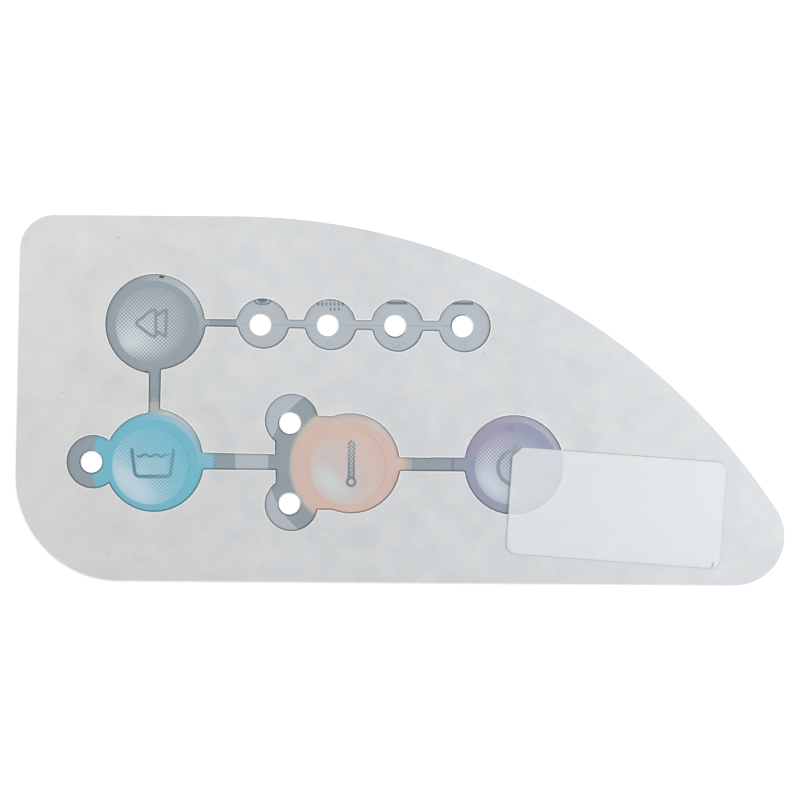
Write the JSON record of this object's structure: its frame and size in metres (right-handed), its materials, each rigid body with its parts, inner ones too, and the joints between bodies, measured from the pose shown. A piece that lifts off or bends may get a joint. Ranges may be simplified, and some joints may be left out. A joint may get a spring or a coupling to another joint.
{
  "type": "membrane keypad overlay",
  "caption": "Sail-shaped graphic overlay of a membrane keypad, face down: clear back-printed film, die-cut adhesive, paper release liner with key and lamp windows, and a blank label.",
  "frame": {"origin": "middle of the outline's box, on the front face that it lies on", "axes": "+X along the straight bottom edge towards the tip, +Y from the bottom edge to the top edge, +Z from the front face towards the liner"},
  "size_m": [0.1442, 0.0684, 0.0006],
  "materials": {
    "film": "clear polyester, satin front",
    "light_ink": "screen-printed ink",
    "grey_ink": "screen-printed ink",
    "back_key_ring_ink": "halftone screen print",
    "back_key_face_ink": "halftone screen print",
    "wash_key_ring_ink": "halftone screen print",
    "wash_key_face_ink": "halftone screen print",
    "heat_key_ring_ink": "halftone screen print",
    "heat_key_face_ink": "halftone screen print",
    "power_key_ring_ink": "halftone screen print",
    "power_key_face_ink": "halftone screen print",
    "adhesive": "pressure-sensitive adhesive",
    "liner_paper": "coated release paper",
    "label_paper": "thin blank label paper"
  },
  "bodies": {
    "root": {"overlay_film": "film", "background_print": "light_ink", "surround_print": "grey_ink", "back_key_ring": "back_key_ring_ink", "back_key_face": "back_key_face_ink", "wash_key_ring": "wash_key_ring_ink", "wash_key_face": "wash_key_face_ink", "heat_key_ring": "heat_key_ring_ink", "heat_key_face": "heat_key_face_ink", "power_key_ring": "power_key_ring_ink", "power_key_face": "power_key_face_ink", "adhesive": "adhesive", "release_liner": "liner_paper", "label": "label_paper"}
  },
  "joints": []
}
